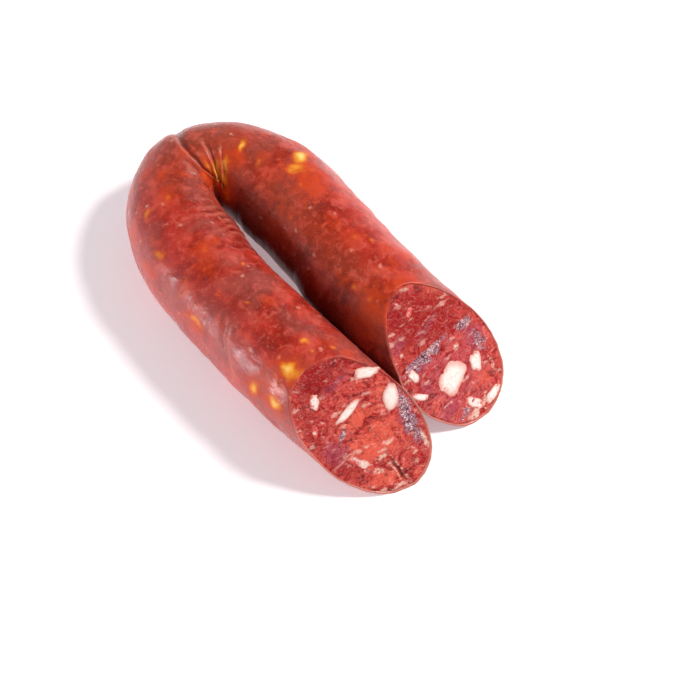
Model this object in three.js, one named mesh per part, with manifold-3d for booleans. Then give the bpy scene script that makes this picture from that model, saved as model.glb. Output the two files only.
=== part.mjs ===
// A dry-cured horseshoe sausage: one length of casing, stuffed and dried bent back on itself,
// lying on its side with both ends sliced off at a slant.
// Millimetres, +Z up. The bend is towards +Y, and the two arms run side by side towards -Y.

import * as THREE from "three";
import { mergeVertices } from "three/addons/utils/BufferGeometryUtils.js";
import Module from "manifold-3d";

// Driving sizes.
const CALIBRE = 34; // diameter of the stuffed casing
const CASING_WALL = 0.5; // dried collagen casing
const CLEARANCE = 0.3; // between the casing, the filling and the pieces of fat
const BEND_GAP = 5; // room between the arms where the bend begins
const ARM_GAP = 1; // room between the arms further on
const GAP_CLOSES_OVER = 40; // how far along the arms the wide gap reaches
const BEND_REACH = 31; // how far the bend's centreline stands out beyond the arms
const LEFT_ARM_SWELL = 0.4; // the left arm's gain of radius at its plumpest
const SWELL_AT = 40; // where along the arm that is
const ARM_SWEEP_RADIUS = 520; // both arms curve together towards +X
const ARM_LENGTH = 76; // from the bend to where the knife crosses the right arm's axis
const SQUASH = 0.4; // how far its own weight flattens the underside
const CREASE = 1.6; // room left at the inner corner of the bend

// Facets of the casing, round it and along it.
const FACETS_ROUND = 24;
const FACETS_ALONG = 62;

// Where each knife cut crosses its arm's axis, and how it leans: across is how much deeper it
// bites for each millimetre towards +X, up for each millimetre of height.
const CUTS = {
  left: { arm: -1, along: ARM_LENGTH - 3.5, across: -0.23, up: 1.04 },
  right: { arm: 1, along: ARM_LENGTH, across: 0.03, up: 0.9 },
  right_top: { arm: 1, along: ARM_LENGTH + 5, across: -0.03, up: 1.64 },
};

// Lumps of back fat that the knife laid open. x and y are measured in the cut's own plane from
// the arm's axis, across towards +X and up the slope; turn is in degrees. A lump is as deep as
// it is wide, and the knife went through its middle.
const FAT = {
  left: [
    { x: 6.5, y: 15.5, long: 7.5, wide: 3.2, turn: -10 },
    { x: -2.5, y: 6, long: 10, wide: 2.4, turn: 29 },
    { x: 11.5, y: 5.5, long: 7.5, wide: 4.8, turn: 73 },
    { x: -11.5, y: 12.5, long: 5, wide: 3, turn: 68 },
    { x: -3.5, y: -11, long: 10, wide: 3, turn: 135 },
    { x: -14, y: 4, long: 4, wide: 2, turn: 77 },
  ],
  right: [
    { x: -2, y: -5, long: 12.5, wide: 8, turn: 28 },
    { x: 7.8, y: -5, long: 6, wide: 4, turn: 78 },
    { x: -13, y: 3, long: 3.5, wide: 2.6, turn: 100 },
    { x: -13.5, y: -4, long: 4.6, wide: 2, turn: 144 },
    { x: 8.5, y: -17, long: 6, wide: 3.2, turn: 19 },
    { x: 1.5, y: -16.5, long: 7, wide: 3, turn: 132 },
  ],
  right_top: [{ x: -5.5, y: 24, long: 3.6, wide: 1.8, turn: 38 }],
};

const wasm = await Module();
wasm.setup();

const UP = new THREE.Vector3(0, 0, 1);
const radius = CALIBRE / 2;

// Uncut length of an arm: past the deepest point of any cut.
const depths = Object.values(CUTS).map((c) => c.along + radius * (Math.abs(c.across) + c.up));
const REACH = Math.max(...depths) + radius;

// A closed three.js geometry as a solid that can be cut and joined.
function solid(geometry) {
  geometry.deleteAttribute("normal");
  geometry.deleteAttribute("uv");
  const welded = mergeVertices(geometry);
  return new wasm.Manifold(
    new wasm.Mesh({
      numProp: 3,
      vertProperties: new Float32Array(welded.attributes.position.array),
      triVerts: new Uint32Array(welded.index.array),
    }),
  );
}

// Rises smoothly from 0 to 1 at x = 1 and dies away again.
const hump = (x) => x * x * Math.exp(1 - x * x);

// The gap between the arms follows an arc that starts at the origin and curves towards +X.
// A place beside it, t along the arc and off to the side, negative to the left.
function beside(t, off) {
  const turn = t / ARM_SWEEP_RADIUS;
  const out = ARM_SWEEP_RADIUS - off;
  return { x: ARM_SWEEP_RADIUS - out * Math.cos(turn), y: -out * Math.sin(turn) };
}

const gapAt = (t) => ARM_GAP + (BEND_GAP - ARM_GAP) * Math.exp(-((t / GAP_CLOSES_OVER) ** 2));

// One arm's axis at t. side is -1 for the left arm and 1 for the right one.
function arm(side, t) {
  const thick = radius + (side < 0 ? LEFT_ARM_SWELL * hump(t / SWELL_AT) : 0);
  return { ...beside(t, side * (thick + gapAt(t) / 2)), radius: thick, room: Infinity };
}

// The bend is half an ellipse between the two arms, about as long as its mean radius says. room
// is how far the axis lies from the line on which the inside of the bend would meet itself.
const BEND_WIDTH = radius + BEND_GAP / 2;
const HALF_BEND = (Math.PI / 4) * (BEND_WIDTH + BEND_REACH);
const NARROWNESS = Math.min(BEND_WIDTH / BEND_REACH, BEND_REACH / BEND_WIDTH);

function bend(s) {
  const angle = (Math.PI / 2) * (1 - s / HALF_BEND);
  const [c, n] = [Math.cos(angle), Math.sin(angle)];
  return {
    x: BEND_WIDTH * c,
    y: BEND_REACH * n,
    radius,
    room: Math.hypot(BEND_WIDTH * n, BEND_REACH * c) * NARROWNESS,
  };
}

// The sausage's axis at a length s from the middle of the bend, left arm negative.
function axis(s) {
  if (s < -HALF_BEND) return arm(-1, -s - HALF_BEND);
  if (s > HALF_BEND) return arm(1, s - HALF_BEND);
  return bend(s);
}

// The whole uncut sausage with its skin taken off to a depth of inset: a straight cylinder laid
// along the axis, pinched where the inside of the bend would run into itself, and flattened
// underneath where it lies.
function form(inset) {
  const start = Math.PI / FACETS_ROUND; // puts a facet underneath
  const log = new THREE.CylinderGeometry(1, 1, 2, FACETS_ROUND, FACETS_ALONG, false, start);
  const position = log.attributes.position;
  for (let i = 0; i < position.count; i++) {
    const s = position.getY(i) * (HALF_BEND + REACH);
    const here = axis(s);
    const [behind, ahead] = [axis(s - 0.1), axis(s + 0.1)];
    const way = new THREE.Vector2(ahead.x - behind.x, ahead.y - behind.y).normalize();
    const inner = Math.min(here.radius, here.room - CREASE);
    const inward = position.getX(i) * ((position.getX(i) > 0 ? inner : here.radius) - inset);
    const height = here.radius - SQUASH + position.getZ(i) * (here.radius - inset);
    position.setXYZ(
      i,
      here.x + way.y * inward,
      here.y - way.x * inward,
      Math.max(height, inset),
    );
  }
  return solid(log);
}

// The plane of a cut: its middle on the arm's axis, its directions across and up the slope, and
// its normal out of the sausage.
function plane(cut) {
  const { x, y, radius: height } = arm(cut.arm, cut.along);
  const normal = new THREE.Vector3(cut.across, -1, cut.up).normalize();
  const across = new THREE.Vector3().crossVectors(UP, normal).normalize();
  return {
    middle: new THREE.Vector3(x, y, height - SQUASH),
    frame: new THREE.Matrix4().makeBasis(across, across.clone().cross(normal).negate(), normal),
  };
}

// The floor plan of one arm's side of the gap, as a block far taller than the sausage.
function sideOf(side) {
  const far = side * 6 * CALIBRE;
  const turn = (1.5 * REACH) / ARM_SWEEP_RADIUS;
  const outline = new THREE.Shape();
  outline.moveTo(far, 0);
  outline.absarc(ARM_SWEEP_RADIUS, 0, ARM_SWEEP_RADIUS, Math.PI, Math.PI + turn);
  outline.lineTo(far, beside(1.5 * REACH, 0).y);
  const block = new THREE.ExtrudeGeometry(outline, {
    depth: 4 * CALIBRE,
    bevelEnabled: false,
    curveSegments: 24,
  });
  return solid(block.translate(0, 0, -CALIBRE));
}

// Everything that one knife cut takes off.
function offcut(cut) {
  const { middle, frame } = plane(cut);
  const size = 8 * CALIBRE;
  const block = new THREE.BoxGeometry(size, size, size).translate(0, 0, size / 2);
  block.applyMatrix4(frame).translate(middle.x, middle.y, middle.z);
  return solid(block).intersect(sideOf(cut.arm));
}

// A lump of fat in the plane of its cut, grown all round by an allowance.
function lump(cut, fat, allowance) {
  const { middle, frame } = plane(cut);
  const [long, wide] = [fat.long / 2 + allowance, fat.wide / 2 + allowance];
  const geometry = new THREE.IcosahedronGeometry(1, 1).scale(long, wide, wide);
  geometry.rotateZ(THREE.MathUtils.degToRad(fat.turn)).translate(fat.x, fat.y, 0);
  geometry.applyMatrix4(frame).translate(middle.x, middle.y, middle.z);
  return solid(geometry);
}

const sausage = new THREE.Group();

function add(name, shape, material) {
  const { vertProperties, triVerts } = shape.getMesh();
  const geometry = new THREE.BufferGeometry();
  geometry.setAttribute("position", new THREE.BufferAttribute(vertProperties, 3));
  geometry.setIndex(new THREE.BufferAttribute(triVerts, 1));
  const mesh = new THREE.Mesh(geometry, material);
  mesh.name = name;
  sausage.add(mesh);
}

const skin = new THREE.MeshStandardMaterial({ color: "#b04a3c", roughness: 0.42, metalness: 0 });
const mince = new THREE.MeshStandardMaterial({ color: "#a63a38", roughness: 0.5, metalness: 0 });
const backFat = new THREE.MeshStandardMaterial({ color: "#f2dcd6", roughness: 0.45, metalness: 0 });

const offcuts = Object.values(CUTS).map(offcut);
const sliced = (shape) => offcuts.reduce((rest, piece) => rest.subtract(piece), shape);

// The casing is a skin open at both cuts, and the filling fills it.
add("casing", sliced(form(0)).subtract(form(CASING_WALL)), skin);

const stuffing = sliced(form(CASING_WALL + CLEARANCE));
const lumps = Object.entries(FAT).flatMap(([cut, list]) =>
  list.map((fat, i) => ({ name: `fat_${cut}_${i + 1}`, cut: CUTS[cut], fat })),
);
const pockets = lumps.map(({ cut, fat }) => lump(cut, fat, CLEARANCE));
add("filling", pockets.reduce((rest, pocket) => rest.subtract(pocket), stuffing), mince);
for (const { name, cut, fat } of lumps) add(name, lump(cut, fat, 0).intersect(stuffing), backFat);

// The origin is under the middle of the whole thing, on the surface it lies on.
const middle = new THREE.Box3().setFromObject(sausage).getCenter(new THREE.Vector3());
sausage.position.set(-middle.x, -middle.y, 0);

export default sausage;
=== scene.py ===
import math
import random

import bmesh
import bpy
import numpy as np
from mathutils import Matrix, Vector, noise


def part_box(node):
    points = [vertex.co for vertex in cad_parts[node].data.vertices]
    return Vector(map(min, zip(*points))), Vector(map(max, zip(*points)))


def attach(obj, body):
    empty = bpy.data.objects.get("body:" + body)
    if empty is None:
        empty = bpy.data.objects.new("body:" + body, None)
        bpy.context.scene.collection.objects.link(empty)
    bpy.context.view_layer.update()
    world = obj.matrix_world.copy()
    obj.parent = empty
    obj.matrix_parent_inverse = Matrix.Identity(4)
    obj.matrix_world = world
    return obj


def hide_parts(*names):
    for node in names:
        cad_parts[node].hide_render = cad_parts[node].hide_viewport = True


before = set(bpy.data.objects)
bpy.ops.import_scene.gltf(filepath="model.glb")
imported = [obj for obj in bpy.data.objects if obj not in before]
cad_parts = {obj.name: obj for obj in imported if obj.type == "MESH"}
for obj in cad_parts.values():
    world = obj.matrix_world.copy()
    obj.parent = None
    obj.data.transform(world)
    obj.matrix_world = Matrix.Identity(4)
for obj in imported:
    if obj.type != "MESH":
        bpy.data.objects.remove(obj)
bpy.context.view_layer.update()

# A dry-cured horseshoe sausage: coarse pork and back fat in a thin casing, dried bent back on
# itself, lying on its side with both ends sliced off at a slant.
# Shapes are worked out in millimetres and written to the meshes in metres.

MM = 0.001

# Driving sizes, the same as the CAD model's.
CALIBRE = 34  # diameter of the stuffed casing
CASING_WALL = 0.5  # dried collagen casing
BEND_GAP = 5  # room between the arms where the bend begins
ARM_GAP = 1  # room between the arms further on
GAP_CLOSES_OVER = 40  # how far along the arms the wide gap reaches
BEND_REACH = 31  # how far the bend's centreline stands out beyond the arms
LEFT_ARM_SWELL = 0.4  # the left arm's gain of radius at its plumpest
SWELL_AT = 40  # where along the arm that is
ARM_SWEEP_RADIUS = 520  # both arms curve together towards +X
ARM_LENGTH = 76  # from the bend to where the knife crosses the right arm's axis
SQUASH = 0.4  # how far its own weight flattens the underside
CREASE = 1.6  # room left at the inner corner of the bend
FACETS_ROUND = 24  # of the CAD casing

# This model's own sizes.
WALL_BEHIND = 1.4  # depth of the casing's inner wall behind the cuts, clear of the creases
MEAT_BEHIND = 1.8  # depth of the meat's surface there
MEAT_CLEARANCE = 0.04  # between the casing and the meat at the cuts
LIP = 0.2  # how far the casing's cut rim stands proud of the knife's plane
PLEAT = 3.6  # from one pleat to the next
SPECKS = 300  # small bits of fat that show through the casing

# Places along a straight body as shares of its half length: where the walls begin to part
# towards the cuts, where they have their real thickness, and the rounded middle of the rim.
BEHIND_CUT = 0.9
AT_CUT = 0.985
RIM = 1.0005

# Each knife cut: the arm, how far along it, and how much deeper it bites for each millimetre
# towards +X and for each millimetre of height.
CUTS = {
    "left": (-1, ARM_LENGTH - 3.5, -0.23, 1.04),
    "right": (1, ARM_LENGTH, 0.03, 0.9),
    "right_top": (1, ARM_LENGTH + 5, -0.03, 1.64),
}

# Lumps of back fat laid open by the knife, in each cut's own plane: x across, y up the slope,
# long, wide, turn in degrees, and how white: 1 is clean fat, and less has lean smeared over it.
FAT = {
    "left": (
        (6.5, 15.5, 8, 3.4, -10, 0.85),
        (-2.5, 6, 10.5, 2.6, 29, 0.95),
        (11.5, 5.5, 8, 5, 73, 0.92),
        (-11.5, 12.5, 5, 3, 68, 0.6),
        (-3.5, -11, 10, 3, 135, 0.4),
        (-14, 4, 4, 2, 77, 0.4),
    ),
    "right": (
        (-2, -5, 12.8, 8.4, 28, 1.0),
        (7.8, -5, 6.4, 4.2, 78, 0.85),
        (-13, 3, 4.6, 2.8, 110, 0.85),
        (-13.8, -4, 5.6, 2.2, 144, 0.75),
        (8.6, -17.6, 7, 3.4, 19, 0.7),
        (1.5, -16.5, 7.5, 3.2, 132, 0.6),
    ),
    "right_top": ((-5.5, 24, 3.6, 1.8, 38, 0.4),),
}

# Creases that run round the section where the casing buckled: angle from the inside of the
# bend in degrees, over the top, against place along the sausage; then depth and width.
CREASES = (
    (((30, 14), (38, 3), (54, -2.5), (85, -3), (126, 0), (140, 1)), 1.1, 0.9),
    (((33, 10), (47, 8), (60, 7), (79, 6), (90, 5.5)), 0.7, 0.9),
    (((45, 13.5), (60, 12.5), (75, 12)), 0.4, 0.7),
    (((50, -9), (62, -8), (76, -7.5)), 0.45, 0.8),
    (((128, -66), (138, -67), (150, -70), (164, -74)), 0.3, 1.2),
)

# Lumps of fat that show through the casing: place along, angle round, long, wide, turn, how
# clearly the fat shows, and how far the stain of its grease spreads.
SEEN_FAT = (
    (-22, 95, 3.2, 3, 0, 0.45, 0.6),
    (-25, 125, 1.8, 3.2, 20, 0.65, 0.1),
    (-36, 131, 3.2, 3, 0, 0.62, 0.3),
    (-42.5, 90, 4.4, 4, 0, 0.3, 0.7),
    (-48, 99, 4, 4, 0, 0.25, 0.6),
    (19, 87, 2, 6, 12, 0.9, 0.2),
    (18, 72, 3.4, 7, 12, 0.15, 0.9),
    (26.5, 77, 2.4, 4.6, 14, 0.42, 0.1),
    (34, 114, 3.6, 7.5, 10, 0.9, 0.3),
    (35.8, 97, 3.4, 7, -15, 0.7, 0.9),
    (38, 107, 6, 5, 0, 0.35, 1.0),
    (42, 99, 10, 7, -20, 0.1, 1.0),
    (14, 56, 4.5, 10, 0, 0.7, 1.0),
    (8, 44, 7, 11, 0, 0.8, 1.0),
    (2, 50, 4, 12, 0, 0.6, 1.0),
    (14, 36, 6, 9, 0, 0.7, 1.0),
    (16.5, 22, 7, 12, 0, 0.5, 1.0),
    (-6, 44, 5, 10, 0, 0.3, 0.9),
    (45, 40, 14, 9, 0, 0.05, 0.7),
    (68.5, 93, 3.2, 3, 0, 0.4, 0.7),
    (73, 105, 2.2, 1.8, 0, 0.6, 0.1),
    (81.5, 56, 2, 2, 0, 0.45, 0.3),
    (88, 58, 2, 2, 0, 0.45, 0.3),
    (95, 95, 12, 8, 20, 0.1, 0.8),
    (-54, 68, 1.8, 1.4, 0, 0.6, 0),
    (-66, 96, 3, 1.2, 30, 0.6, 0),
    (-46.5, 130, 1.4, 6, 20, 0.45, 0.2),
    (-49, 138, 1.2, 5, -20, 0.45, 0.2),
    (-57, 151, 6.5, 3, 0, 0.66, 0.8),
    (-90, 117, 6, 5, 30, 0.88, 1.0),
    (92, 44, 10, 14, 0, 0.05, 0.9),
    (-83.5, 158, 4, 5, 0, 0.85, 0.9),
    (-92, 153, 6, 4, 0, 0.85, 1.0),
    (-89, 140, 8, 6, 0, 0.1, 1.0),
    (-87.5, 86, 3, 2.6, 0, 0.62, 0.2),
    (-91, 86, 1.6, 1.4, 0, 0.6, 0),
    (-94, 65, 3, 1.8, 20, 0.6, 0.2),
    (56, 84, 0.8, 8, 60, 0.4, 0),
    (48, 150, 4, 2, 0, 0.3, 0),
)

# What the knife left on each cut's face, with painted shade, sheen and glints in some marks:
# kind, x, y, long, wide, turn and strength.
MARKS = {
    "left": (
        # The first two dark patches darken the upper facet: partly a deeper red lean, partly painted
        # shade.
        ("dark", -9, 19, 13, 8, 30, 1.0),
        ("dark", 1, 22, 14, 6, 0, 0.8),
        ("dark", -15, 6, 4, 14, 0, 0.6),
        ("dark", -9, -10, 10, 6, 140, 0.5),
        # A thin band of painted sheen along the ridge between the facets.
        ("purple", -4, 15.5, 10, 1.8, 25, 0.9),
        ("purple", 14.5, -2, 18, 5, 96, 1.0),
        ("purple", -10.5, -5, 9, 7, 120, 0.8),
        ("fatty", -5, -9.5, 8, 2.2, 135, 0.6),
        ("fatty", -0.5, -14.5, 6, 1.8, 150, 0.55),
        ("fatty", 17.6, -11, 7, 1.4, 100, 0.7),
        ("fatty", 3, -11.5, 4, 2.2, 40, 0.6),
        ("fatty", 6.4, -7.5, 3, 1.8, 0, 0.6),
        ("fatty", -12, 2, 3, 1.6, 60, 0.4),
        ("orange", 3, -6, 16, 10, 20, 1.0),
        ("orange", 0, 3, 12, 5, 20, 0.9),
        ("orange", 8.8, 9, 6, 3.6, 70, 0.9),
        ("orange", 3, -19, 14, 5, -10, 0.8),
        ("fatty", 3, -22.5, 14, 1.6, 0, 0.5),
        ("wet", 14.6, -2, 17, 3.6, 96, 0.9),
        ("wet", -6.5, -0.5, 5, 2, 60, 0.6),
        ("slit", 7, -17.6, 10, 1.2, -71, 0.9),
    ),
    "right": (
        ("purple", -1, -3, 30, 34, 0, 0.45),
        ("purple", -9, 5, 10, 4, 20, 1.0),
        ("purple", -10, -2.5, 7, 5, 30, 0.8),
        ("purple", 10.5, 3, 6, 9, 20, 1.0),
        ("purple", -6.5, -13, 10, 6, 10, 0.8),
        ("orange", 8, -11, 6, 6, 0, 1.0),
        ("orange", -10, -10, 5, 6, 0, 0.7),
        ("orange", 3, 4.5, 10, 3, 10, 0.7),
        ("fatty", 4.2, 3, 2.4, 1.8, 0, 0.7),
        ("fatty", -15.5, -3.1, 3, 1.4, 150, 0.6),
        ("fatty", 2, -19, 10, 2.2, 20, 0.7),
        ("fatty", 13, -10, 2, 8, 10, 0.5),
        ("wet", -6.5, 6.8, 16, 4, 12, 1.0),
        ("wet", 9.4, 8, 6, 2.6, 0, 0.9),
        ("wet", 12, 1, 3, 8, 10, 0.6),
        ("wet", -3, -18, 8, 2, 20, 0.5),
    ),
    "right_top": (
        # The two dark patches darken the top facet: partly a deeper red lean, partly painted shade.
        ("dark", -3, 20, 26, 18, 0, 0.75),
        ("dark", -9, 26, 12, 9, 0, 0.9),
        ("purple", -14, 17, 6, 4, 20, 0.8),
        # A thin band of painted sheen beside the dark slit.
        ("purple", -3, 17.5, 10, 2.6, 22, 0.9),
        ("orange", 6, 26, 12, 6, 0, 1.0),
        ("slit", -0.5, 19.3, 8, 0.5, 22, 0.5),
        ("fatty", -10, 21.6, 11, 0.5, 6, 0.45),
        ("fatty", -14.5, 13.5, 1.3, 1.3, 0, 0.8),
        ("fatty", 5.2, 20.8, 1.5, 1.2, 0, 0.8),
    ),
}

RADIUS = CALIBRE / 2
BEND_WIDTH = RADIUS + BEND_GAP / 2
HALF_BEND = math.pi / 4 * (BEND_WIDTH + BEND_REACH)
NARROWNESS = min(BEND_WIDTH / BEND_REACH, BEND_REACH / BEND_WIDTH)
HALF_LENGTH = HALF_BEND + ARM_LENGTH
BEND_SHARE = HALF_BEND / HALF_LENGTH
UP = np.array((0.0, 0.0, 1.0))

# The formulas have their origin between the arms, where the bend begins. The CAD casing has
# flat facets, whose middles are this share of its radius from the axis.
FLAT = math.cos(math.pi / FACETS_ROUND)
LOW, HIGH = (np.array(corner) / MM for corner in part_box("casing"))
SHIFT = np.array((LOW[0] + BEND_WIDTH + RADIUS * FLAT, HIGH[1] - BEND_REACH - RADIUS * FLAT, 0))


# ------------------------------------------------------------------ the shape of the sausage


def axis(s):
    """The axis at lengths s from the middle of the bend, left arm negative: x, y, the radius
    there and the room on the inside of the bend."""
    side = np.sign(s)
    t = np.maximum(np.abs(s) - HALF_BEND, 0)
    swell = (t / SWELL_AT) ** 2 * np.exp(1 - (t / SWELL_AT) ** 2)
    radius = RADIUS + np.where(side < 0, LEFT_ARM_SWELL * swell, 0)
    gap = ARM_GAP + (BEND_GAP - ARM_GAP) * np.exp(-((t / GAP_CLOSES_OVER) ** 2))
    out = ARM_SWEEP_RADIUS - side * (radius + gap / 2)
    turn = t / ARM_SWEEP_RADIUS
    angle = math.pi / 2 * (1 - s / HALF_BEND)
    c, n = np.cos(angle), np.sin(angle)
    bent = np.abs(s) < HALF_BEND
    x = np.where(bent, BEND_WIDTH * c, ARM_SWEEP_RADIUS - out * np.cos(turn))
    y = np.where(bent, BEND_REACH * n, -out * np.sin(turn))
    room = np.hypot(BEND_WIDTH * n, BEND_REACH * c) * NARROWNESS
    return x, y, radius, np.where(bent, room, np.inf)


def laid(s, inward, up, cover):
    """Places at lengths s, given as shares of the radius inward and up from the axis. cover is
    the least height that each keeps above the table."""
    x, y, radius, room = axis(s)
    behind, ahead = axis(s - 0.1), axis(s + 0.1)
    way_x, way_y = ahead[0] - behind[0], ahead[1] - behind[1]
    long = np.hypot(way_x, way_y)
    off = inward * np.where(inward > 0, np.minimum(radius, room - CREASE), radius)
    height = np.maximum(radius * (1 + up) - SQUASH, cover)
    return np.stack((x + way_y / long * off, y - way_x / long * off, height), axis=-1)


def plane(cut):
    """A cut's middle on its arm's axis, and its ways across, up the slope and out."""
    arm, along, across, up = CUTS[cut]
    normal = np.array((across, -1, up)) / math.hypot(across, 1, up)
    x, y, radius, _ = axis(np.array(arm * (HALF_BEND + along)))
    across_way = np.cross(UP, normal)
    across_way /= np.linalg.norm(across_way)
    return np.array((x, y, radius - SQUASH)), across_way, np.cross(normal, across_way), normal


def knife_reach(side, inward, up, cover):
    """How far along an arm each place goes before it meets the knife, and which cut that is."""
    reaches = []
    for cut, (arm, along, _, _) in CUTS.items():
        middle, _, _, normal = plane(cut)
        t = np.full(len(inward), float(along))
        for _ in range(6):
            here = laid(side * (HALF_BEND + t), inward, up, cover)
            t = t + (here - middle) @ normal / normal[1]
        reaches.append(np.where(side == arm, t, np.inf))
    return np.min(reaches, axis=0), np.argmin(reaches, axis=0)


def rough(places, size, seed=0.0):
    """Smooth noise from -1 to 1 at places in millimetres, with lumps of about that size."""
    shift = Vector((seed, 2.3 * seed, -1.7 * seed))
    return np.array([noise.noise(Vector(place) / size + shift) for place in places])


def bell(x):
    return np.exp(-(x**2))


def spot(u, v, long, wide, turn, sharp=1.5):
    """1 in the middle of an oval patch, fading out past its edge. u and v are from its middle."""
    turn = math.radians(turn)
    along = (u * math.cos(turn) + v * math.sin(turn)) / (long / 2)
    beside = (v * math.cos(turn) - u * math.sin(turn)) / (wide / 2)
    return np.exp(-((along**2 + beside**2) ** sharp) * 0.7)


def skin(s, round_, straight):
    """What the drying did to the casing at lengths s and angles round, and the shade and sheen
    painted into its colour: how far it stands proud, and how strongly each thing shows that the
    material colours. straight holds the same places on the sausage laid out straight."""
    inside = bell(round_ / 55)
    broad = rough(straight, 13) * 0.4 + rough(straight, 6, 3) * 0.34
    fine = rough(straight, 2.6, 5)
    wander = rough(straight, 5, 9)
    proud = (broad + fine * 0.1) * (1 - 0.75 * inside) - 0.1
    # The arms bulge towards each other at the bend's inner corner, and again further on, where
    # the right one leans over until they almost touch.
    t = np.abs(s) - HALF_BEND
    gap = ARM_GAP + (BEND_GAP - ARM_GAP) * bell(t / GAP_CLOSES_OVER)
    closing = np.interp(t, (-14, -8, -2, 4, 20, 28), (0.2, 1.0, 1.2, 0.35, 0.05, 1.0))
    lean = np.sign(s) * np.interp(t, (0, 20), (0, 0.8))
    proud += np.minimum(closing, 0.42 * gap) * (1 + lean) * bell(round_ / 32)
    crease_shade = np.zeros(len(s))
    edge = np.zeros(len(s))
    for path, depth, width in CREASES:
        angles, places = zip(*path)
        off = s - np.interp(round_, angles, places) + 0.6 * wander
        ends = (angles[0] - 12, angles[0], angles[-1], angles[-1] + 14)
        fade = np.interp(round_, ends, (0, 1, 1, 0))
        proud -= depth * bell(off / width) * fade
        proud += 0.45 * depth * bell((off + 2.6 * width) / (2 * width)) * fade
        # Painted shade darkens each crease, more on the inner side, and a painted highlight lies on the
        # ridge beside it.
        dark = np.interp(round_, (60, 130), (1, 0.5)) * min(1, depth + 0.1)
        crease_shade = np.maximum(crease_shade, bell(off / width) * fade * dark)
        edge = np.maximum(edge, bell((off + 1.6 * width) / (0.6 * width)) * fade * 0.35)
    # Pleats gathered towards the inner corner of the bend, with painted shade in their troughs and
    # painted highlights on their crests.
    pleats = np.sin(s * 2 * math.pi / PLEAT + rough(straight, 11, 11) * 7)
    pleats = pleats * (0.6 + 1.2 * wander)
    gathered = bell((s + 33) / 16) * np.interp(round_, (-10, 20, 60, 95), (0.5, 1, 0.8, 0))
    proud += 0.35 * pleats * gathered
    crease_shade = np.maximum(crease_shade, np.clip(-pleats * gathered * 0.9, 0, 0.8))
    edge = np.maximum(edge, np.clip(pleats * gathered * 0.45, 0, 1))
    # A shallow lobe beside the main crease.
    proud += 0.7 * bell((s + 5) / 5) * np.interp(round_, (70, 110, 150, 175), (0, 1, 1, 0))
    # Fat under the casing, in ragged patches, and the wider stains of its grease.
    fat = np.zeros(len(s))
    grease = np.zeros(len(s))
    warp_u, warp_v = 1.2 * rough(straight, 3.5, 41), 1.2 * rough(straight, 3.5, 43)
    for at, angle, long, wide, turn, shows, stain in SEEN_FAT + SMALL_FAT:
        near = np.abs(s - at) < 14
        size = min(1, (long + wide) / 6)
        u = s[near] - at + size * warp_u[near]
        v = (np.mod(round_[near] - angle + 180, 360) - 180) * math.pi / 180 * RADIUS
        v = v + size * warp_v[near]
        fat[near] = np.maximum(fat[near], shows * spot(u, v, long, wide, turn, 1.1))
        if stain:
            patch = stain * spot(u, v, long + 4, wide + 4, turn, 1.1)
            grease[near] = np.maximum(grease[near], patch)
    proud += 0.2 * np.clip(fat, 0, 1) * (1 - inside)
    # The right arm's shoulder and the middle of the bend are browner.
    dull = bell((round_ - 62) / 24) * np.interp(s, (20, 35, 85, 100), (0, 0.9, 0.9, 0.2))
    dull = np.maximum(dull, bell((s - 6) / 26))
    # Painted shade: the inner sides, where the arms face each other across the gap, are darkened, the
    # right arm's more than the left's.
    right = bell((round_ - 6) / 37) * np.interp(s, (17, 25, 84, 98), (0, 1, 1, 0.35))
    left = bell(round_ / 22) * np.interp(-s, (5, 20), (0, 0.8))
    deep = np.where(s > 0, right, left)
    # Painted sheen: the outer sides are paler, standing in for the white surroundings' reflection at
    # grazing angles.
    painted_sheen = bell((np.mod(round_, 360) - 165) / 42)
    shows = {"crease_shade": crease_shade, "edge": edge, "fat": fat, "grease": grease, "dull": dull}
    shows.update({"deep": deep, "painted_sheen": painted_sheen})
    return proud, shows


# Specks of fat anywhere under the casing, given by the same values as the larger ones.
dice = random.Random(11)
SMALL_FAT = tuple(
    (
        dice.uniform(-112, 116),
        dice.uniform(-80, 260),
        dice.uniform(0.7, 2.4),
        dice.uniform(0.6, 1.3),
        dice.uniform(0, 180),
        dice.uniform(0.1, 0.5),
        dice.choice((0, 0, 0.3, 0.6)),
    )
    for _ in range(SPECKS)
)


def cut_face(places, cuts):
    """What the knife left at places on the faces, some marks with painted shade: how far each
    stands proud of its cut's plane, how strongly each kind of mark shows, and each one's place in
    its cut's plane, in metres."""
    kinds = ("dark", "purple", "orange", "fatty", "wet", "slit")
    shows = {kind: np.zeros(len(places)) for kind in kinds}
    proud = rough(places, 4, 21) * 0.22 + rough(places, 1.7, 23) * 0.16
    flat = np.zeros((len(places), 3))
    warp_x, warp_y = rough(places, 2.2, 25), rough(places, 2.2, 27)
    for index, cut in enumerate(CUTS):
        middle, across, slope, _ = plane(cut)
        here = cuts == index
        x, y = (places[here] - middle) @ across, (places[here] - middle) @ slope
        # Each cut's pattern is taken from its own level, so that no two faces are alike.
        flat[here] = np.stack((x, y, 50.0 * index + 0 * x), axis=-1) * MM
        for kind, at_x, at_y, long, wide, turn, strength in MARKS[cut]:
            stray = min(1.6, 0.4 * wide)
            u, v = x - at_x + stray * warp_x[here], y - at_y + stray * warp_y[here]
            patch = strength * spot(u, v, long, wide, turn)
            shows[kind][here] = np.maximum(shows[kind][here], patch)
            # The slit is pressed into the face and its inside darkened as painted shade; its lips are
            # drawn pale in the fat's colour.
            if kind == "slit":
                proud[here] -= 0.7 * patch
                lips = strength * spot(u, v, long + 0.8, wide + 0.9, turn) - 1.5 * patch
                shows["fatty"][here] = np.maximum(shows["fatty"][here], np.clip(lips * 1.3, 0, 1))
    proud += shows["wet"] * rough(places, 0.9, 29) * 0.3
    shows["cut"] = flat
    return proud, shows


# ------------------------------------------------------------------------------- the pieces


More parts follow.
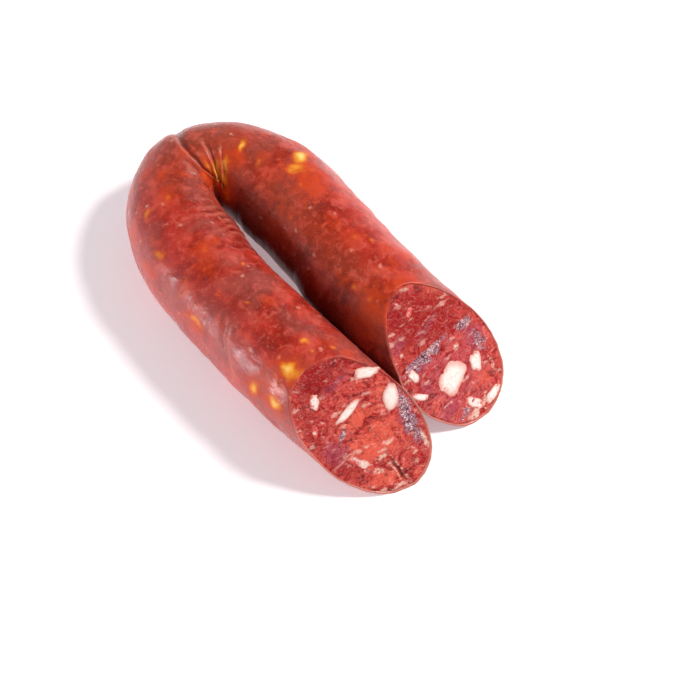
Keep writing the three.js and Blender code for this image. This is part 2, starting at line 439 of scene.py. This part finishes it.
def turned(corners, steps):
    """A straight body turned about the X axis. corners gives places along it and out from it,
    and into how many parts the line to the next one is divided."""
    shape = bmesh.new()
    verts = [shape.verts.new((along, out, 0)) for along, out, _ in corners]
    if corners[0][1] > 0:
        verts.append(verts[0])
    lines = [shape.edges.new(pair) for pair in zip(verts, verts[1:])]
    for (_, _, parts), line in zip(corners, lines):
        if parts > 1:
            bmesh.ops.subdivide_edges(shape, edges=[line], cuts=parts - 1)
    bmesh.ops.spin(
        shape,
        geom=shape.verts[:] + shape.edges[:],
        cent=(0, 0, 0),
        axis=(1, 0, 0),
        angle=2 * math.pi,
        steps=steps,
        use_merge=True,
    )
    bmesh.ops.remove_doubles(shape, verts=shape.verts, dist=1e-5)
    bmesh.ops.recalc_face_normals(shape, faces=shape.faces)
    return shape


def piece(name, shape, places, shows, material):
    """Makes the piece from a shape, its vertices' places in millimetres and what shows there."""
    mesh = bpy.data.meshes.new(name)
    shape.to_mesh(mesh)
    shape.free()
    mesh.vertices.foreach_set("co", ((places + SHIFT) * MM).astype(np.float32).ravel())
    for kind, values in shows.items():
        values = np.asarray(values, dtype=np.float32)
        vector = values.ndim == 2
        layer = mesh.attributes.new(kind, "FLOAT_VECTOR" if vector else "FLOAT", "POINT")
        layer.data.foreach_set("vector" if vector else "value", values.ravel())
    mesh.shade_smooth()
    mesh.update()
    made = bpy.data.objects.new(name, mesh)
    bpy.context.scene.collection.objects.link(made)
    made.data.materials.append(material)
    return made


def corners_of(shape):
    return np.array([vert.co[:] for vert in shape.verts])


def bent(shape, lip):
    """Bends a straight body along the sausage's axis and trims it to the knife's cuts, with its
    rim about lip millimetres proud of them. Gives each vertex's place, which cut it is nearest
    and what shows there in a casing."""
    share, inward, up = corners_of(shape).T
    side = np.where(share < 0, -1, 1)
    out = np.hypot(inward, up)
    round_ = np.mod(np.degrees(np.arctan2(up, inward)) + 90, 360) - 90
    cover = (1 - out) * RADIUS * np.clip(out, 0, 1)
    past = (np.abs(share) - BEND_SHARE) / (1 - BEND_SHARE)

    def lengths(inward, up):
        reach, cut = knife_reach(side, inward, up, cover)
        s = np.where(past < 0, np.abs(share) / BEND_SHARE * HALF_BEND, HALF_BEND + past * reach)
        return side * s, cut

    s, _ = lengths(inward, up)
    # The same places on the sausage laid out straight.
    log = np.stack((s, inward * RADIUS, up * RADIUS), axis=-1)
    proud, shows = skin(s, round_, log)
    grow = 1 + proud / RADIUS * out
    inward, up = inward * grow, up * grow
    s, cut = lengths(inward, up)
    ragged = np.clip((np.abs(share) - AT_CUT) / (1 - AT_CUT), 0, 1) * lip
    edge_noise = rough(np.stack((round_ / 5, side * 9.0, side * 3.0), axis=-1), 1.0, 31)
    s = s + side * ragged * (1 + 0.8 * edge_noise)
    shows["log"] = log * MM
    return laid(s, inward, up, cover), cut, shows


def make_casing(material):
    """The casing, a skin open at both cuts."""
    inside = 1 - CASING_WALL / RADIUS
    middle = 1 - CASING_WALL / RADIUS / 2
    behind = 1 - WALL_BEHIND / RADIUS
    corners = (
        (-1, 1, 400),
        (1, 1, 1),
        (RIM, middle, 1),
        (1, inside, 1),
        (AT_CUT, inside, 1),
        (BEHIND_CUT, behind, 36),
        (-BEHIND_CUT, behind, 1),
        (-AT_CUT, inside, 1),
        (-1, inside, 1),
        (-RIM, middle, 1),
    )
    shape = turned(corners, 200)
    places, _, shows = bent(shape, LIP)
    share, _, up = corners_of(shape).T
    # The cut edge shows pale, but not along the top.
    pale = np.clip((np.abs(share) - 0.9975) / 0.0025, 0, 1)
    shows["rim"] = pale * np.interp(up, (0.1, 0.6), (1, 0))
    return piece("casing_skin", shape, places, shows, material)


def make_filling(material):
    """The cured meat inside the casing, with what the knife left on its faces."""
    edge = 1 - (CASING_WALL + MEAT_CLEARANCE) / RADIUS
    behind = 1 - MEAT_BEHIND / RADIUS
    corners = (
        (-1, 0, 100),
        (-1, edge, 1),
        (-AT_CUT, edge, 1),
        (-BEHIND_CUT, behind, 30),
        (BEHIND_CUT, behind, 1),
        (AT_CUT, edge, 1),
        (1, edge, 100),
        (1, 0, 1),
    )
    shape = turned(corners, 300)
    places, cut, _ = bent(shape, 0)
    share, inward, up = corners_of(shape).T
    face = np.abs(share) > 0.9999
    proud, marks = cut_face(places, cut)
    # The relief dies away towards the casing.
    proud = proud * np.clip((edge - np.hypot(inward, up)) / 0.04, 0, 1)
    normals = np.array([plane(name)[3] for name in CUTS])[cut]
    places = places + normals * (proud * face)[:, None]
    return piece("cured_meat", shape, places, marks, material)


def make_lump(name, cut, lump, seed, material):
    """A lump of back fat bedded in the meat, sliced level with the cut and a hair proud of it."""
    x, y, long, wide, turn, white = lump
    shape = bmesh.new()
    bmesh.ops.create_icosphere(shape, subdivisions=5, radius=1)
    ball = corners_of(shape)
    angle = np.arctan2(ball[:, 1], ball[:, 0])
    outward = np.hypot(ball[:, 0], ball[:, 1])
    ring = np.stack((np.cos(angle), np.sin(angle), 0 * angle), axis=-1)
    outline = (np.abs(ring[:, 0]) ** 2.6 + np.abs(ring[:, 1]) ** 2.6) ** (-1 / 2.6)
    outline = outline * (0.98 + 0.3 * rough(ring, 0.9, seed) + 0.07 * rough(ring, 0.45, seed + 5))
    half = np.array((long / 2, wide / 2))
    level = ball[:, :2] * outline[:, None] * half
    dome = np.sqrt(np.clip(ball[:, 2], 0, 1)) * 0.22
    depth = np.where(ball[:, 2] > 0, dome, ball[:, 2] * wide / 2)
    relief = 0.12 * rough(np.stack((level[:, 0], level[:, 1], depth), axis=-1), 1.6, seed + 9)
    depth = depth + np.where(ball[:, 2] > 0.2, relief, 0)
    turn = math.radians(turn)
    u = x + level[:, 0] * math.cos(turn) - level[:, 1] * math.sin(turn)
    v = y + level[:, 0] * math.sin(turn) + level[:, 1] * math.cos(turn)
    middle, across, slope, normal = plane(cut)
    places = middle + u[:, None] * across + v[:, None] * slope + depth[:, None] * normal
    shows = {"outward": outward, "white": np.full(len(outward), white)}
    return piece(name + "_lump", shape, places, shows, material)


# ---------------------------------------------------------------------------- the materials


def colour(code):
    """An sRGB hex colour as the linear one that Blender mixes."""
    parts = [int(code[i : i + 2], 16) / 255 for i in (1, 3, 5)]
    return (*(p / 12.92 if p <= 0.04045 else ((p + 0.055) / 1.055) ** 2.4 for p in parts), 1)


def node(tree, kind, inputs=(), out=0, stops=(), **settings):
    """Adds a node with its settings and gives one of its outputs. inputs holds values, colours
    and other nodes' outputs, and stops the places and colours of a ramp."""
    made = tree.nodes.new("ShaderNode" + kind)
    for name, value in settings.items():
        setattr(made, name, value)
    for name, value in dict(inputs).items():
        if isinstance(value, bpy.types.NodeSocket):
            tree.links.new(value, made.inputs[name])
        else:
            made.inputs[name].default_value = colour(value) if isinstance(value, str) else value
    for place, _ in stops[2:]:
        made.color_ramp.elements.new(place)
    for element, (place, code) in zip(made.color_ramp.elements if stops else (), stops):
        element.position = place
        element.color = colour(code)
    return made.outputs[out]


def fresh(name):
    """A new material, its node tree and its surface shader."""
    material = bpy.data.materials.new(name)
    material.use_nodes = True
    return material, material.node_tree, material.node_tree.nodes["Principled BSDF"]


def finished(shader, links, values):
    """Links the surface shader's sockets, and sets the others."""
    for name, socket in links.items():
        shader.id_data.links.new(socket, shader.inputs[name])
    for name, value in values.items():
        shader.inputs[name].default_value = value


def per(size):
    """The scale at which a pattern on coordinates in metres repeats every size millimetres."""
    return 1 / (size * MM)


def dried_casing():
    """Collagen casing dried tight over cured pork: thin, a little glossy and see-through, so the
    meat's reds, browns and the yellow fat with its orange grease show, under fine wrinkles."""
    material, tree, shader = fresh("dried_collagen_casing")
    place = node(tree, "TexCoord", out="Object")
    log = node(tree, "Attribute", out="Vector", attribute_name="log")
    crease_shade, edge, fat, grease, rim, dull, deep, painted_sheen = (
        node(tree, "Attribute", out="Fac", attribute_name=kind)
        for kind in ("crease_shade", "edge", "fat", "grease", "rim", "dull", "deep", "painted_sheen")
    )
    broad, coarse, small, grain = (
        node(
            tree,
            "TexNoise",
            {"Vector": place, "Scale": per(size), "Detail": detail, "Distortion": swirl},
        )
        for size, detail, swirl in ((20, 3, 0.6), (8, 3, 0.4), (2.8, 2, 0.6), (0.9, 3, 0.3))
    )
    # The wrinkles run along the sausage.
    drawn = node(tree, "Mapping", {"Vector": log, "Scale": (0.5, 1, 1)})
    wrinkles = node(
        tree, "TexNoise", {"Vector": drawn, "Scale": per(2), "Detail": 4, "Distortion": 0.8}
    )
    # Flecks of fat and dry skin, in about three places out of ten.
    stray = node(tree, "TexNoise", {"Vector": place, "Scale": per(1.4), "Detail": 2}, out="Color")
    near = node(
        tree, "VectorMath", {0: stray, 1: (1.6 * MM,) * 3, 2: place}, operation="MULTIPLY_ADD"
    )
    far = node(tree, "TexVoronoi", {"Vector": near, "Scale": per(4)})
    which = node(tree, "TexVoronoi", {"Vector": near, "Scale": per(4)}, out="Color")
    which = node(tree, "SeparateColor", {0: which})
    chosen = node(tree, "Math", {0: which, 1: 0.7}, operation="GREATER_THAN")
    fleck = node(
        tree,
        "MapRange",
        {"Value": far, "From Min": 0.04, "From Max": 0.22, "To Min": 1, "To Max": 0},
    )
    fleck = node(tree, "Math", {0: fleck, 1: chosen}, operation="MULTIPLY")
    # The fat's outlines are ragged, and so are those of the stains.
    worn = node(tree, "Math", {0: small, 1: 0.5}, operation="SUBTRACT")
    stain = node(tree, "Math", {0: worn, 1: 1.5, 2: grease}, operation="MULTIPLY_ADD")
    ragged = node(tree, "Math", {0: worn, 1: 0.5, 2: fat}, operation="MULTIPLY_ADD")
    yellows = node(
        tree,
        "ValToRGB",
        {"Fac": ragged},
        stops=(
            (0.1, "#b8402a"),
            (0.3, "#cc501c"),
            (0.5, "#de7a1e"),
            (0.75, "#f0a632"),
            (1.0, "#f8d884"),
        ),
    )
    meat = node(
        tree,
        "ValToRGB",
        {"Fac": coarse},
        stops=((0.34, "#8c1f13"), (0.45, "#a22618"), (0.54, "#b22f21"), (0.66, "#c24434")),
    )
    for value, low, high, most, tint in (
        (broad, 0.47, 0.6, 0.75, "#90423a"),  # drier, browner patches
        (dull, 0.1, 1, 0.6, "#953c20"),
        (small, 0.52, 0.72, 0.35, "#c4564c"),
        (small, 0.46, 0.3, 0.42, "#7a2016"),
        # painted sheen on the outer sides
        (painted_sheen, 0.1, 1, 0.5, "#bb6c6a"),
        (small, 0.55, 0.7, 0.3, "#cc6a62"),
        (grain, 0.57, 0.74, 0.22, "#d88878"),
        (fleck, 0, 1, 0.6, "#e6a28c"),
        (stain, 0.1, 1, 0.85, "#c63c0c"),  # grease
        (ragged, 0.08, 0.9, 1, yellows),  # fat
        (edge, 0, 1, 1, "#d5806f"),  # painted highlight on the ridge beside each fold and on the pleats' crests
        # painted shade on the inner sides between the arms
        (deep, 0.1, 0.9, 0.76, "#4c0d04"),
        # painted shade in the creases and the pleats' troughs
        (crease_shade, 0.3, 1, 0.9, "#360c05"),
        (rim, 0.3, 1, 0.55, "#dd9486"),
    ):
        share = node(
            tree, "MapRange", {"Value": value, "From Min": low, "From Max": high, "To Max": most}
        )
        meat = node(tree, "Mix", {0: share, 6: meat, 7: tint}, out=2, data_type="RGBA")
    damp = node(
        tree,
        "MapRange",
        {"Value": coarse, "From Min": 0.38, "From Max": 0.62, "To Min": 0.22, "To Max": 0.4},
    )
    bump = node(tree, "Bump", {"Height": wrinkles, "Strength": 0.4, "Distance": 0.35 * MM})
    bump = node(tree, "Bump", {"Height": grain, "Strength": 0.5, "Distance": 0.12 * MM, "Normal": bump})
    finished(
        shader,
        {"Base Color": meat, "Roughness": damp, "Normal": bump},
        {
            "IOR": 1.38,
            "Specular IOR Level": 0.4,
            "Subsurface Weight": 0.1,
            "Subsurface Radius": (1, 0.2, 0.08),
            "Subsurface Scale": 1.5 * MM,
            "Sheen Weight": 0.25,
            "Sheen Roughness": 0.25,
            "Sheen Tint": colour("#ffd4da"),
        },
    )
    return material


def cut_meat():
    """Coarse-ground cured pork laid open by a knife: moist marbling from dark lean to pink, with
    specks and threads of fat, purple where it has dried in the air, painted wet glints, and
    painted shade on the upper facets and in the slits."""
    material, tree, shader = fresh("coarse_cured_pork")
    place = node(tree, "TexCoord", out="Object")
    dark, purple, orange, fatty, wet, slit = (
        node(tree, "Attribute", out="Fac", attribute_name=kind)
        for kind in ("dark", "purple", "orange", "fatty", "wet", "slit")
    )
    cut = node(tree, "Attribute", out="Vector", attribute_name="cut")
    # The knife has drawn the grain of the face out along its way.
    drawn = node(tree, "Mapping", {"Vector": cut, "Rotation": (0, 0, -0.5), "Scale": (0.45, 1, 1)})
    mince, fine, glints, streaks = (
        node(
            tree,
            "TexNoise",
            {
                "Vector": where,
                "Scale": per(size),
                "Detail": detail,
                "Roughness": grit,
                "Distortion": swirl,
            },
        )
        for where, size, detail, grit, swirl in (
            (place, 4.5, 8, 0.7, 1.8),
            (drawn, 1.2, 5, 0.75, 1.2),
            (place, 0.8, 4, 0.8, 2.0),
            (drawn, 2.4, 5, 0.7, 1.0),
        )
    )
    worn = node(tree, "Math", {0: fine, 1: 0.5}, operation="SUBTRACT")
    coarse_worn = node(tree, "Math", {0: mince, 1: 0.5}, operation="SUBTRACT")
    layers = node(
        tree,
        "ValToRGB",
        {"Fac": mince},
        stops=(
            (0.34, "#5e0507"),
            (0.43, "#a00c10"),
            (0.49, "#c2191b"),
            (0.55, "#d8382e"),
            (0.61, "#ea7464"),
            (0.7, "#f8cbbb"),
        ),
    )
    mottled = node(
        tree, "ValToRGB", {"Fac": fine}, stops=((0.38, "#8a0810"), (0.5, "#c23a34"), (0.62, "#f08070"))
    )
    layers = node(tree, "Mix", {0: 0.36, 6: layers, 7: mottled}, out=2, data_type="RGBA")
    # Where the surface dried in the air it is rough and dark, with tiny glints painted in as near-white
    # and near-black specks.
    painted_glints = node(
        tree,
        "ValToRGB",
        {"Fac": glints},
        stops=((0.41, "#180610"), (0.47, "#6a2038"), (0.54, "#b0607c"), (0.585, "#fff4f8")),
    )
    for value, most, tint in (
        (orange, 0.7, "#f0624a"),
        # dark patches, partly painted shade on the upper facets
        (dark, 0.9, "#a00608"),
        (purple, 0.62, "#a03c58"),
        (fatty, 0.95, "#f4cfbc"),
        (wet, 1.3, painted_glints),
    ):
        patch = node(tree, "Math", {0: worn, 1: 2.0, 2: value}, operation="MULTIPLY_ADD")
        patch = node(tree, "Math", {0: coarse_worn, 1: 1.5, 2: patch}, operation="MULTIPLY_ADD")
        patch = node(
            tree, "MapRange", {"Value": patch, "From Min": 0.2, "From Max": 0.75, "To Max": most}
        )
        within = node(tree, "MapRange", {"Value": value, "From Min": 0.02, "From Max": 0.25})
        share = node(tree, "Math", {0: patch, 1: within}, operation="MULTIPLY")
        layers = node(tree, "Mix", {0: share, 6: layers, 7: tint}, out=2, data_type="RGBA")
    # Torn flakes of fat, about one grain in six, and thin pale threads between the grains.
    stray = node(tree, "TexNoise", {"Vector": place, "Scale": per(1.6), "Detail": 3}, out="Color")
    near = node(
        tree, "VectorMath", {0: stray, 1: (2 * MM,) * 3, 2: drawn}, operation="MULTIPLY_ADD"
    )
    far = node(tree, "TexVoronoi", {"Vector": near, "Scale": per(1.8)})
    which = node(tree, "TexVoronoi", {"Vector": near, "Scale": per(1.8)}, out="Color")
    which = node(tree, "SeparateColor", {0: which})
    chosen = node(tree, "Math", {0: which, 1: 0.84}, operation="GREATER_THAN")
    flake = node(tree, "Math", {0: worn, 1: 1.4, 2: far}, operation="MULTIPLY_ADD")
    flake = node(
        tree,
        "MapRange",
        {"Value": flake, "From Min": 0.2, "From Max": 0.42, "To Min": 1, "To Max": 0},
    )
    flake = node(tree, "Math", {0: flake, 1: chosen}, operation="MULTIPLY")
    thread = node(tree, "Math", {0: coarse_worn}, operation="ABSOLUTE")
    for value, low, high, most, tint in (
        (streaks, 0.58, 0.68, 0.7, "#f4b0a2"),
        (streaks, 0.43, 0.34, 0.75, "#5a0410"),
        (flake, 0, 1, 0.7, "#f2bfae"),
        # dark patches again, partly painted shade on the upper facets
        (dark, 0.3, 1, 0.6, "#a20c0e"),
        (thread, 0.012, 0, 0.5, "#f4b6a8"),
        # painted shade inside the slits
        (slit, 0.3, 0.9, 0.8, "#6b1a14"),
    ):
        share = node(
            tree, "MapRange", {"Value": value, "From Min": low, "From Max": high, "To Max": most}
        )
        layers = node(tree, "Mix", {0: share, 6: layers, 7: tint}, out=2, data_type="RGBA")
    damp = node(
        tree,
        "MapRange",
        {"Value": fine, "From Min": 0.38, "From Max": 0.6, "To Min": 0.18, "To Max": 0.5},
    )
    bump = node(tree, "Bump", {"Height": mince, "Strength": 0.9, "Distance": 0.9 * MM})
    bump = node(tree, "Bump", {"Height": fine, "Strength": 0.8, "Distance": 0.35 * MM, "Normal": bump})
    finished(
        shader,
        {"Base Color": layers, "Roughness": damp, "Normal": bump},
        {
            "IOR": 1.4,
            "Specular IOR Level": 0.2,
            "Subsurface Weight": 0.1,
            "Subsurface Radius": (1, 0.3, 0.2),
            "Subsurface Scale": 1 * MM,
            "Coat Weight": 0.1,
            "Coat Roughness": 0.08,
        },
    )
    return material


def back_fat():
    """Cured pork back fat: waxy and white, tinged pink by the lean at its edges and smeared with
    it in places, with a soft gloss and light scattering deep into it."""
    material, tree, shader = fresh("cured_back_fat")
    place = node(tree, "TexCoord", out="Object")
    outward, white = (
        node(tree, "Attribute", out="Fac", attribute_name=kind) for kind in ("outward", "white")
    )
    cloudy = node(
        tree,
        "TexNoise",
        {"Vector": place, "Scale": per(2.0), "Detail": 6, "Roughness": 0.65, "Distortion": 1.2},
    )
    fat = node(
        tree, "ValToRGB", {"Fac": cloudy}, stops=((0.34, "#ecc8ba"), (0.5, "#f8e8e0"), (0.66, "#fcf6f3"))
    )
    edge = node(tree, "Math", {0: cloudy, 1: 1.1, 2: outward}, operation="MULTIPLY_ADD")
    # The less white it is, the more lean lies over it.
    smear = node(tree, "Math", {0: white, 1: -0.52, 2: cloudy}, operation="MULTIPLY_ADD")
    smear = node(tree, "Math", {0: outward, 1: 0.11, 2: smear}, operation="MULTIPLY_ADD")
    for value, low, high, tint in ((edge, 1.12, 1.6, "#dd8676"), (smear, 0.23, 0.39, "#cd4a40")):
        share = node(tree, "MapRange", {"Value": value, "From Min": low, "From Max": high})
        fat = node(tree, "Mix", {0: share, 6: fat, 7: tint}, out=2, data_type="RGBA")
    bump = node(tree, "Bump", {"Height": cloudy, "Strength": 0.5, "Distance": 0.3 * MM})
    finished(
        shader,
        {"Base Color": fat, "Normal": bump},
        {
            "Roughness": 0.36,
            "IOR": 1.45,
            "Subsurface Weight": 0.3,
            "Subsurface Radius": (1, 0.7, 0.6),
            "Subsurface Scale": 1.2 * MM,
        },
    )
    return material


def light_table():
    """White acrylic lit from beneath: a flat even white that keeps shadows pale and sends some
    light up round the sausage."""
    material, tree, shader = fresh("lit_white_acrylic")
    place = node(tree, "TexCoord", out="Object")
    tooth = node(tree, "TexNoise", {"Vector": place, "Scale": per(3), "Detail": 3})
    white = node(tree, "ValToRGB", {"Fac": tooth}, stops=((0.3, "#f9f9f9"), (0.7, "#fcfcfc")))
    finished(
        shader,
        {"Base Color": white},
        {
            "Roughness": 0.9,
            "Specular IOR Level": 0.2,
            "Emission Color": colour("#f6eef6"),
            "Emission Strength": 0.33,
        },
    )
    return material


# ------------------------------------------------------------------------------- the scene

VIEW = (-37, 60)  # azimuth and elevation that the camera looks from
LOOKS_AT = (-1.25, -28.7, 17)  # what it looks at, in millimetres
CAMERA_AWAY = 0.48  # how far it is from there, in metres
LENS = 79.8  # focal length in millimetres, on a sensor 36 wide
LAMPS_AWAY = 0.8  # how far each lamp is from the object, in metres


def make_sausage():
    casing = make_casing(dried_casing())
    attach(casing, "root")
    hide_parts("casing")
    filling = make_filling(cut_meat())
    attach(filling, "root")
    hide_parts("filling")
    fat = back_fat()
    for cut, lumps in FAT.items():
        for number, lump in enumerate(lumps, 1):
            name = f"fat_{cut}_{number}"
            made = make_lump(name, cut, lump, 10.0 * number + len(cut), fat)
            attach(made, "root")
            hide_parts(name)


def make_floor():
    shape = bmesh.new()
    bmesh.ops.create_grid(shape, x_segments=8, y_segments=8, size=2)
    mesh = bpy.data.meshes.new("floor")
    shape.to_mesh(mesh)
    shape.free()
    mesh.materials.append(light_table())
    floor = bpy.data.objects.new("floor", mesh)
    bpy.context.scene.collection.objects.link(floor)


def seen_from(azimuth, elevation):
    """The way from the object towards an azimuth and an elevation, in degrees."""
    a, e = math.radians(azimuth), math.radians(elevation)
    return Vector((math.sin(a) * math.cos(e), -math.cos(a) * math.cos(e), math.sin(e)))


def place_light(name, azimuth, elevation, width, power, tint):
    """A soft round lamp that looks at the object from an azimuth and an elevation."""
    data = bpy.data.lights.new(name, "AREA")
    data.shape = "DISK"
    data.size = width
    data.energy = power
    data.color = colour(tint)[:3]
    light = bpy.data.objects.new(name, data)
    light.location = seen_from(azimuth, elevation) * LAMPS_AWAY
    light.rotation_euler = seen_from(azimuth, elevation).to_track_quat("Z", "Y").to_euler()
    bpy.context.scene.collection.objects.link(light)


def light_studio():
    """A white tent, brighter round its foot than overhead, with a soft key light high on the
    right and a low fill opposite."""
    world = bpy.data.worlds.new("studio")
    world.use_nodes = True
    bpy.context.scene.world = world
    tree = world.node_tree
    height = node(tree, "SeparateXYZ", {0: node(tree, "TexCoord", out="Generated")}, out="Z")
    bright = node(
        tree, "MapRange", {"Value": height, "From Max": 0.75, "To Min": 0.85, "To Max": 0.26}
    )
    sky = tree.nodes["Background"]
    sky.inputs["Color"].default_value = colour("#fcfbff")
    tree.links.new(bright, sky.inputs["Strength"])
    place_light("key", 66, 52, 0.18, 6.2, "#fffaf6")
    place_light("fill", -108, 9, 0.22, 3.0, "#fff2f6")
    bpy.context.scene.view_settings.view_transform = "Standard"


def place_camera():
    data = bpy.data.cameras.new("camera")
    data.sensor_width = 36
    data.lens = LENS
    camera = bpy.data.objects.new("camera", data)
    way = seen_from(*VIEW)
    camera.location = Vector(LOOKS_AT) * MM + way * CAMERA_AWAY
    camera.rotation_euler = way.to_track_quat("Z", "Y").to_euler()
    bpy.context.scene.collection.objects.link(camera)
    bpy.context.scene.camera = camera


place_camera()
light_studio()
make_floor()
make_sausage()
